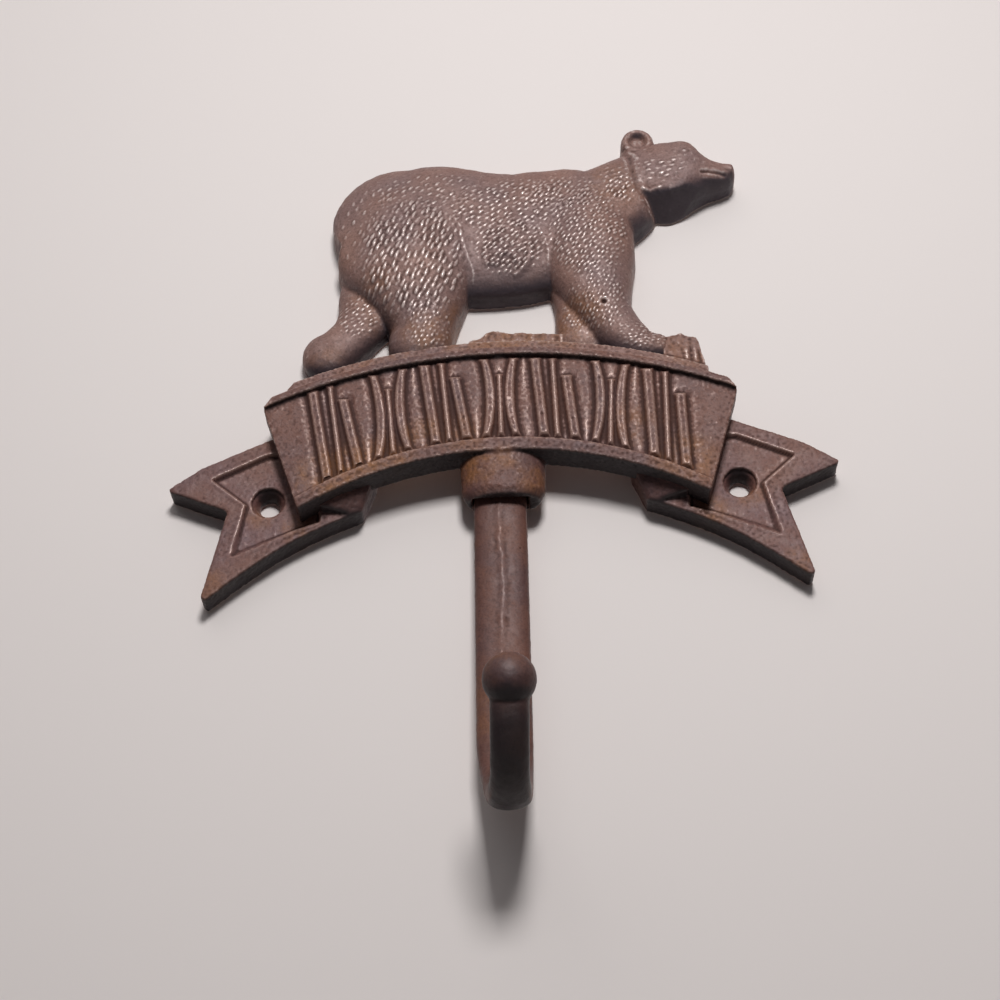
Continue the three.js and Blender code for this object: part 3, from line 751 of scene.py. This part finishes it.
ridges = [  # line, width and height: the flank's parting lines and folds, then the lip and the ear's foot
    ([(-10.6, 38.8), (-9, 35.6), (-8.6, 31.4), (-7.3, 26.6), (-5.8, 22), (-6, 19)], 0.8, 0.11),
    ([(-7.4, 39), (-8.8, 35.8)], 1.6, 0.18),
    ([(11.4, 35), (13.4, 31), (14.3, 27), (14.1, 23)], 0.8, 0.09),
    ([(-2.4, 24.6), (-2.3, 28.5), (-0.5, 31.2), (2, 33)], 1.3, 0.25),
    ([(-0.7, 24.2), (1.2, 26.9), (4.7, 27), (6.2, 24.4)], 1.6, 0.3),
    ([(5.4, 20.8), (8, 22.8), (9.4, 26.4), (9.2, 29.4)], 1.4, 0.25),
    ([(57.4, 49.3), (60, 49.6), (62.4, 49.5)], 1.1, 0.2),
    ([(37.2, 61.6), (38.4, 59.4), (39.8, 57)], 1.6, 0.3),
    ([(40.8, 46.6), (42.6, 46), (45, 46.4)], 1.4, 0.3),
]
grooves = [  # the mouth, and the crease behind the jaw
    ([(57, 51), (58.8, 51.2), (61, 51.1), (63.4, 50.8)], 0.85, -0.42),
    ([(37.6, 58), (38.2, 53), (38.6, 49), (39.6, 46), (41.5, 43.6), (42.4, 40)], 1.9, -0.5),
]
mounds = [  # centre, radii, height and turn: the eye's hollow, the eye, the brow, a blowhole in the foreleg
    ((52.6, 58), (1.7, 1.2), -0.34, 0),
    ((52.7, 58), (0.7, 0.5), 0.3, 0),
    ((52.4, 61.6), (3.2, 1.5), 0.35, -8),
    ((28, 9.1), (0.62, 0.55), -1.5, 0),
]
softZones = [  # centre and radii of the places where limbs run together without an edge
    ((-24, 42), (17, 14)), ((-9, 36), (6, 15)), ((24, 44), (14, 11)), ((13, 40), (8, 15)),
    ((33, 44), (9, 10)), ((41, 53), (6, 7)), ((41, 57), (5, 5)), ((-37, 35), (9, 13)),
]
bearForm = {"voxel": 0.32, "softening": 5, "triangles": 196000, "standOutRounds": 9, "standOutUnit": 0.11}
bearGrain = {"coarse": 0.03, "coarseSize": 1.6, "fine": 0.045, "fineSize": 0.6}
bearRust = [
    (-9, 49, 6, 0.6), (2, 50, 9, 0.75), (-18, 45, 6, 0.5), (21, 50, 6, 0.55), (-44, 36, 7, 0.4),
    (48, 38, 6, 0.35), (33, 92, 7, 0.3), (-30, 52, 4, 0.3), (-33, 60, 5, 0.25),
]


def spline(rows, share):  # a smooth curve through the rows, at shares of its length
    rows = np.array(rows, float)
    rows = np.vstack([2 * rows[0] - rows[1], rows, 2 * rows[-1] - rows[-2]])
    along = np.clip(np.asarray(share) * (len(rows) - 3), 0, len(rows) - 3 - 1e-9)
    i = along.astype(int)
    t = (along - i)[:, None]
    a, b, c, d = (rows[i + k] for k in range(4))
    square, cube = 2 * a - 5 * b + 4 * c - d, 3 * b - a - 3 * c + d
    return 0.5 * (2 * b + (c - a) * t + square * t ** 2 + cube * t ** 3)


def trimmed(x, z, depth):  # the throat and chin lean back in a plane under the jaw line
    line = np.array(bear["jawLine"])
    below = np.maximum(np.interp(x, line[:, 0], line[:, 1]) - z, 0)
    over = np.maximum(depth - np.maximum(bear["jawDepth"] - bear["jawSlope"] * below, 0.3), 0) * (below > 0)
    share = smooth((x - line[0, 0] - bear["jawLean"] * below) / 2)
    return depth - share * over * over / (over + bear["jawRound"])


def limb(name):
    stations, dome = bear["limbs"][name], bear["domes"].get(name, bear["dome"])
    count = (len(stations) - 1) * bear["ringsApart"]
    shares = np.linspace(0, 1, count + 1)
    rows = spline(stations, shares)
    ahead = np.gradient(rows[:, :2], axis=0)
    ahead /= np.linalg.norm(ahead, axis=1)[:, None]
    if name in bear["upright"]:
        ahead = np.tile([1.0, 0.0], (len(rows), 1))
    order = [(0, -push) for push in bear["caps"]]
    order += [(i, 0) for i in range(count + 1)]
    order += [(count, push) for push in bear["caps"][::-1]]
    angles = np.linspace(0, math.pi, bear["sectionSteps"] + 1)
    u = np.sign(np.cos(angles)) * np.abs(np.cos(angles)) ** (2 / dome) * bear["sectionInset"]
    v = np.sin(angles) ** (2 / dome)
    rings = []
    for i, push in order:
        x, z, half, depth = rows[i]
        shrink = math.sqrt(1 - push * push)
        reach = push * half * (bear["shallow"] if name in bear["upright"] else 1)
        x, z = x + ahead[i, 0] * reach, z + ahead[i, 1] * reach
        depth *= bear["capDepth"] + (1 - bear["capDepth"]) * shrink
        wall = depth * bear["sideWall"]
        across = np.array([-ahead[i, 1], ahead[i, 0]]) * half * shrink
        widths = np.concatenate([[1, 1], u, [-1, -1]])
        depths = np.concatenate([[0, wall / 2], wall + (depth - wall) * v, [wall / 2, 0]])
        if name in bear["underJaw"]:
            depths = trimmed(x + across[0] * widths, z + across[1] * widths, depths)
        ring = [(x + across[0] * w, z + across[1] * w, d) for w, d in zip(widths, depths)]
        rings.append([(px, pz + bear["stand"], d) for px, pz, d in ring])
    return lofted(rings)


def earCup():
    ear = bear["ear"]
    x, z = ear["centre"]
    profile = [
        (1, 0), (1, 0.66), (0.97, 0.82), (0.87, 0.94), (0.74, 0.98), (0.6, 0.96), (0.46, 0.87),
        (0.3, 0.72), (0.15, 0.58), (0, 0.5),
    ]
    rings = [(radius * ear["radius"], level * ear["front"]) for radius, level in [(0, 0)] + profile]
    return turned(rings, lambda a, b, level: (x + a, z + b + bear["stand"], level))


def softened():  # the blurred front of the bear, and where it takes the sharp one's place
    xs, zs = (np.arange(a, b, bear["grid"]) for a, b in zip(bear["gridFrom"], bear["gridTo"]))
    x, z = np.meshgrid(xs, zs, indexing="ij")
    hard = np.zeros(x.shape)
    for name, stations in bear["limbs"].items():
        dome = bear["domes"].get(name, bear["dome"])
        rows = spline(stations, np.linspace(0, 1, (len(stations) - 1) * bear["ringsApart"] + 1))
        for rx, rz, half, depth in rows:
            near = np.clip(1 - (np.hypot(x - rx, z - rz) / half) ** dome, 0, 1)
            domed = depth * (bear["sideWall"] + (1 - bear["sideWall"]) * near ** (1 / dome))
            hard = np.maximum(hard, np.where(near > 0, domed, 0))
    waves = [np.fft.fftfreq(n, bear["grid"]) for n in x.shape]
    spread = waves[0][:, None] ** 2 + waves[1][None] ** 2
    kept = np.exp(-2 * (math.pi * bear["softening"]) ** 2 * spread)
    blur = lambda field: np.fft.ifft2(np.fft.fft2(field) * kept).real
    soft = blur(hard) / np.maximum(blur((hard > 0).astype(float)), 0.2)
    share = np.zeros(x.shape)
    for centre, radii in softZones:
        away = np.hypot((x - centre[0]) / radii[0], (z - centre[1]) / radii[1])
        share = np.maximum(share, smooth((1 - away) / 0.5))
    return soft, share


def lookUp(x, z, field):
    i, j = (x - bear["gridFrom"][0]) / bear["grid"], (z - bear["gridFrom"][1]) / bear["grid"]
    i, j = np.clip(i, 0, field.shape[0] - 1.001), np.clip(j, 0, field.shape[1] - 1.001)
    low, left = i.astype(int), j.astype(int)
    u, v = i - low, j - left
    near = field[low, left] * (1 - v) + field[low, left + 1] * v
    far = field[low + 1, left] * (1 - v) + field[low + 1, left + 1] * v
    return near * (1 - u) + far * u


def bearRelief(place, way):
    x, z, depth = place[:, 0], place[:, 1] - bear["stand"], place[:, 2]
    front = smooth((way[:, 2] - 0.25) / 0.45)
    onBear = smooth((place[:, 1] - topEdge(x) - ground["rise"] + 0.5) / 1.5)
    height = np.zeros(len(x))
    for seed, coat in enumerate(coats.values()):
        height = np.maximum(height, locks(x, z, coat, 20 + 5 * seed))
    height *= bear["patchMean"] + bear["patchChange"] * cloud(place, bear["patch"], 60)
    for line, width, proud in ridges + grooves:
        height += ridge(x, z, line, width, proud)
    for centre, radii, proud, turn in mounds:
        height += mound(x, z, centre, radii, proud, turn)
    height *= front * onBear
    soft, share = (lookUp(x, z, field) for field in softened())
    place[:, 2] += share * (soft - depth) * smooth((depth - 3.5) / 2)
    return height + grained(place, bearGrain, 5)


def makeBear():
    solids = [limb(name) for name in bear["limbs"]] + [earCup()]
    return castForm("bearRelief", solids, bearForm, bearRelief, bearRust)


# The coat hook

hookForm = {"voxel": 0.33, "softening": 4, "triangles": 70000, "standOutRounds": 10, "standOutUnit": 0.12, "sides": 48}
hookGrain = {"coarse": 0.05, "coarseSize": 1.8, "fine": 0.035, "fineSize": 0.6}
hookRust = [(-5, -60, 8, 0.25), (3, -86, 5, 0.25)]
hookPaintedShade = [(0, -84, 38, 12, 0.95), (0, -73, 43, 7, 0.65)]  # painted shade on the curl and the ball: x, z, depth, radius and strength


def hookRing(x, z, depth, angle, width, thickness):
    ring = []
    for i in range(hookForm["sides"]):
        a = 2 * math.pi * i / hookForm["sides"]
        v = math.copysign(abs(math.sin(a)) ** hook["squareness"], math.sin(a)) * thickness / 2
        ring.append((x + math.cos(a) * width / 2, z + math.sin(angle) * v, depth + math.cos(angle) * v))
    return ring


def makeHook():
    mix = lambda a, b, share: a + (b - a) * share
    out = hook["setback"] + hook["lean"] + hook["bend"]
    top = collar["bottom"] + collar["socket"] - hook["clearance"]
    rings = []
    for i in range(hook["shankRings"]):
        share = i / hook["shankRings"]
        x, z = mix(hook["topSway"], hook["footSway"], share), mix(top, hook["level"], share)
        depth = hook["setback"] + hook["lean"] * share * share
        rings.append(hookRing(x, z, depth, 0, hook["width"], hook["thickness"]))
    for i in range(hook["bendRings"] + 1):
        share = i / hook["bendRings"]
        angle = math.pi * share
        rings.append(hookRing(
            mix(hook["footSway"], hook["curlSway"], share),
            hook["level"] - hook["bend"] * math.sin(angle),
            out - hook["bend"] * math.cos(angle),
            angle,
            mix(hook["width"], hook["curlWidth"], min(1, share / hook["taperEnd"])),
            mix(hook["thickness"], hook["curlThickness"], share),
        ))
    radius = hook["ball"] / 2
    middle = out + hook["bend"] + hook["ballOut"]
    angles = [math.pi * i / hook["ballRings"] for i in range(hook["ballRings"] + 1)]
    profile = [(radius * math.sin(a), radius * -math.cos(a)) for a in angles]
    level = hook["level"] + hook["ballLift"]
    sway = hook["curlSway"]
    ball = turned(profile, lambda a, b, up: (sway + a, level + up, middle + b), hookForm["sides"])

    def relief(place, way):
        x, z, depth = place.T
        share = np.clip((top - z) / (top - hook["level"]), 0, 1)
        middle = mix(hook["topSway"], hook["footSway"], share) + hook["seamWander"] * np.sin(z / 6)
        seam = np.exp(-((x - middle) / hook["seamWidth"]) ** 2) * smooth(way[:, 2] * 2)
        seam *= (depth < hook["seamDepth"]) * smooth((z - hook["seamFoot"]) / 12)
        uneven = 0.6 + 0.5 * cloud(place, 2.5, 40)
        return hook["seam"] * seam * uneven + grained(place, hookGrain, 30)

    return castForm("coatHookCasting", [lofted(rings), ball], hookForm, relief, hookRust, hookPaintedShade)


# The finishes

def linear(hexColour):
    channels = [int(hexColour[i:i + 2], 16) / 255 for i in (1, 3, 5)]
    return tuple(c / 12.92 if c <= 0.04045 else ((c + 0.055) / 1.055) ** 2.4 for c in channels) + (1,)


def addNode(tree, kind, settings=None, values=None, links=None):
    made = tree.nodes.new(kind)
    for key, value in (settings or {}).items():
        setattr(made, key, value)
    for key, value in (values or {}).items():
        made.inputs[key].default_value = value
    for key, socket in (links or {}).items():
        tree.links.new(socket, made.inputs[key])
    return made


def freshMaterial(name):
    material = bpy.data.materials.new(name)
    material.use_nodes = True
    material.node_tree.nodes.clear()
    return material, material.node_tree


ironLook = {
    "iron": "#6e4b42",  # bare waxed iron oxide
    "plum": "#5c4344",  # cooler, denser scale
    "warm": "#7d4f3a",
    "ochre": "#8a5a30",
    "dirtAndShade": "#2e1711",
    "paintedShadeColour": "#141117",  # painted shade: a dark bluish colour on the faces that look down
    "wearAndHighlight": "#b09186",
    "shine": 0.5,  # how far the tips that stand out go to the worn and highlighted tone: rubbed wear and a painted highlight
    "wearAndHighlightFrom": (0.25, 1.1),
    "patchy": 0.55,
    "clouds": 14,  # patches of tone, in millimetres
    "blotches": 3.5,
    "grit": 0.55,  # moulding sand is 0.2 to 0.3 mm, and is drawn coarser so that it shows
    "fineGrit": 0.26,
    "metallic": 0.15,
    "roughness": (0.5, 0.66),
    "polish": 0.34,  # the roughness of the worn tips
    "dull": 0.85,  # and of the hollows
    "bump": 0.55,
}


def castIron(name, look):  # sand-cast iron, rusted and waxed: dull sheen, sparkling on its grain, with painted highlights on what stands out and painted shade in the hollows and on the faces that look down
    material, tree = freshMaterial(name)
    place = addNode(tree, "ShaderNodeTexCoord").outputs["Object"]
    causes = {}
    for title in ("standOut", "rust", "paintedShade"):
        causes[title] = addNode(tree, "ShaderNodeAttribute", {"attribute_name": title}).outputs["Fac"]
    for title, detail in (("clouds", 3), ("blotches", 4), ("grit", 3), ("fineGrit", 2)):
        values = {"Scale": 1 / (look[title] * mm), "Detail": detail, "Roughness": 0.6}
        causes[title] = addNode(tree, "ShaderNodeTexNoise", None, values, {"Vector": place}).outputs["Fac"]
    links = {"Value": causes["blotches"], "To Max": causes["rust"]}
    spots = addNode(tree, "ShaderNodeMapRange", None, {"From Min": 0.3, "From Max": 0.6}, links)
    causes["spots"] = spots.outputs[0]
    layers = [  # colour, its cause, from where to where in it, and the colour's share there
        ("plum", "clouds", 0.35, 0.65, 1),
        ("warm", "blotches", 0.4, 0.8, look["patchy"]),
        ("ochre", "spots", 0, 1, 1),
        # rubbed wear, and a painted highlight, on what stands out
        ("wearAndHighlight", "standOut", *look["wearAndHighlightFrom"], look["shine"]),
        # dirt and painted shade in the hollows
        ("dirtAndShade", "standOut", -0.05, -0.9, 0.68),
        ("dirtAndShade", "grit", 0.52, 0.3, 0.4),
        # painted shade on the faces that look down
        ("paintedShadeColour", "paintedShade", 0, 1, 0.92),
    ]
    tone = None
    for colour, cause, low, high, most in layers:
        values = {"From Min": low, "From Max": high, "To Max": most}
        share = addNode(tree, "ShaderNodeMapRange", None, values, {"Value": causes[cause]}).outputs[0]
        sides = {6: linear(look["iron"]), 7: linear(look[colour])}
        links = {0: share, 6: tone} if tone else {0: share}
        tone = addNode(tree, "ShaderNodeMix", {"data_type": "RGBA"}, sides, links).outputs[2]
    low, high = look["roughness"]
    values = {"From Min": 0.3, "From Max": 0.7, "To Min": low, "To Max": high}
    rough = addNode(tree, "ShaderNodeMapRange", None, values, {"Value": causes["blotches"]}).outputs[0]
    for near, far, finish in ((0.2, 0.9, look["polish"]), (-0.1, -0.8, look["dull"])):
        values = {"From Min": near, "From Max": far}
        share = addNode(tree, "ShaderNodeMapRange", None, values, {"Value": causes["standOut"]}).outputs[0]
        links = {0: share, 2: rough}
        rough = addNode(tree, "ShaderNodeMix", {"data_type": "FLOAT"}, {3: finish}, links).outputs[0]
    values = {"Strength": look["bump"], "Distance": 0.12 * mm}
    coarse = addNode(tree, "ShaderNodeBump", None, values, {"Height": causes["grit"]}).outputs[0]
    values = {"Strength": look["bump"] / 2, "Distance": 0.06 * mm}
    links = {"Height": causes["fineGrit"], "Normal": coarse}
    fine = addNode(tree, "ShaderNodeBump", None, values, links).outputs[0]
    values = {"Metallic": look["metallic"]}
    links = {"Base Color": tone, "Roughness": rough, "Normal": fine}
    shader = addNode(tree, "ShaderNodeBsdfPrincipled", None, values, links).outputs[0]
    addNode(tree, "ShaderNodeOutputMaterial", links={"Surface": shader})
    return material


print("making the casting")
looks = {  # what differs between the castings' surfaces
    "waxedCastIronFur": {  # the locks' tips are rubbed bright and carry a painted highlight, the skin between them stays dull, and the painted shade below is lighter
        "iron": "#8b6a60", "plum": "#7b6361", "wearAndHighlight": "#dccac4", "shine": 0.8, "polish": 0.26,
        "patchy": 0.35, "wearAndHighlightFrom": (0.15, 1.05), "paintedShadeColour": "#39343d",
    },
    "waxedCastIronRibbon": {  # grainy and dark, with bright edges of rubbed wear and painted highlight
        "iron": "#69443a", "plum": "#593f3f", "wearAndHighlight": "#c4a396", "shine": 0.5, "bump": 0.85,
    },
    "waxedCastIronGround": {  # a lighter band, sparkling on its grain and with painted highlights
        "iron": "#7d594e", "plum": "#6c5150", "wearAndHighlight": "#cfb5aa", "shine": 0.7, "bump": 0.85,
    },
    "waxedCastIronTails": {"plum": "#64494d"},  # a cooler, plum-coloured sheen
    "waxedCastIronHook": {  # smoother, with soft long highlights
        "iron": "#654239", "plum": "#533b3c", "bump": 0.4, "shine": 0.3,
    },
}
finishes = {name: castIron(name, {**ironLook, **changes}) for name, changes in looks.items()}
castings = [
    (makeBear(), "waxedCastIronFur"),
    (makeGround(), "waxedCastIronGround"),
    (makeBanner(), "waxedCastIronRibbon"),
    (makeTail(-1, "tailLeft"), "waxedCastIronTails"),
    (makeTail(1, "tailRight"), "waxedCastIronTails"),
]
for thing, finish in castings:
    thing.data.materials.append(finishes[finish])
    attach(thing, "root")
    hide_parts("bear_sign")
hookThing = makeHook()
hookThing.data.materials.append(finishes["waxedCastIronHook"])
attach(hookThing, "root")
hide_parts("coat_hook")
print("casting made")


# The stage: a pale wall surface behind the sign, a pale floor, soft light from above

stage = {
    "wallColour": "#ded6d3",
    "floorColour": "#d9d5d0",
    "wallGap": 0.3,
    "wallSize": 2600,
    "floorLevel": -1100,
    "aboveColour": "#e9e6e4",
    "belowColour": "#a9a6c0",
    "aboveStrength": 0.3,
    "belowStrength": 0.02,
    "horizon": (-0.35, 0.6),  # from where to where the dark below turns to the light above
}
lights = {  # place, size and power; each looks at the sign's middle
    "key": ((66, -616, 264), 150, 3.6),
    "soft": ((-250, -900, 900), 900, 2.0),
    "back": ((200, 900, 500), 900, 5.0),
}


def mattPaint(name, colour, seeThroughBack):  # matt emulsion paint: pale and even, with no gloss
    material, tree = freshMaterial(name)
    values = {"Base Color": linear(colour), "Roughness": 0.7}
    surface = addNode(tree, "ShaderNodeBsdfPrincipled", None, values).outputs[0]
    if seeThroughBack:  # the wall is seen from the room only
        clear = addNode(tree, "ShaderNodeBsdfTransparent").outputs[0]
        back = addNode(tree, "ShaderNodeNewGeometry").outputs["Backfacing"]
        surface = addNode(tree, "ShaderNodeMixShader", links={0: back, 1: surface, 2: clear}).outputs[0]
    addNode(tree, "ShaderNodeOutputMaterial", links={"Surface": surface})
    return material


def makeStage():
    half = stage["wallSize"] / 2
    low, gap = stage["floorLevel"], -stage["wallGap"]
    high = low + 2 * half
    wallCorners = [(-half, low, gap), (half, low, gap), (half, high, gap), (-half, high, gap)]
    floorCorners = [(-half, low, -half), (-half, low, half), (half, low, half), (half, low, -half)]
    wall = addObject("backWall", (wallCorners, [[0, 1, 2, 3]]))
    floor = addObject("floor", (floorCorners, [[0, 1, 2, 3]]))
    wall.data.materials.append(mattPaint("mattPaintedWall", stage["wallColour"], True))
    floor.data.materials.append(mattPaint("mattPaintedFloor", stage["floorColour"], False))
    wall.visible_shadow = False  # so that the sign's back is lit through it
    world = bpy.data.worlds.new("studio")
    world.use_nodes = True
    tree = world.node_tree
    tree.nodes.clear()
    way = addNode(tree, "ShaderNodeTexCoord").outputs["Generated"]
    up = addNode(tree, "ShaderNodeSeparateXYZ", links={0: way}).outputs[2]
    values = dict(zip(("From Min", "From Max"), stage["horizon"]))
    share = addNode(tree, "ShaderNodeMapRange", None, values, {"Value": up}).outputs[0]
    sides = {6: linear(stage["belowColour"]), 7: linear(stage["aboveColour"])}
    colour = addNode(tree, "ShaderNodeMix", {"data_type": "RGBA"}, sides, {0: share}).outputs[2]
    values = {"To Min": stage["belowStrength"], "To Max": stage["aboveStrength"]}
    strength = addNode(tree, "ShaderNodeMapRange", None, values, {"Value": share}).outputs[0]
    sky = addNode(tree, "ShaderNodeBackground", links={"Color": colour, "Strength": strength})
    addNode(tree, "ShaderNodeOutputWorld", links={"Surface": sky.outputs[0]})
    bpy.context.scene.world = world
    for name, (place, size, power) in lights.items():
        lamp = bpy.data.lights.new(name, "AREA")
        lamp.energy = power
        lamp.size = size * mm
        thing = bpy.data.objects.new(name, lamp)
        thing.location = [c * mm for c in place]
        thing.rotation_euler = (-thing.location).to_track_quat("-Z", "Y").to_euler()
        bpy.context.scene.collection.objects.link(thing)


camera = {"place": (5.1, -436.9, -251.4), "tilt": 120.02, "roll": 1.81, "turn": 1.86, "lens": 72}


def makeCamera():
    lens = bpy.data.cameras.new("camera")
    lens.lens = camera["lens"]
    lens.sensor_width = 36
    lens.clip_start = 0.01
    thing = bpy.data.objects.new("camera", lens)
    thing.location = [c * mm for c in camera["place"]]
    thing.rotation_euler = Euler([math.radians(camera[key]) for key in ("tilt", "roll", "turn")], "XYZ")
    bpy.context.scene.collection.objects.link(thing)
    bpy.context.scene.camera = thing


makeStage()
makeCamera()
bpy.context.scene.view_settings.view_transform = "Standard"
print("stage set")
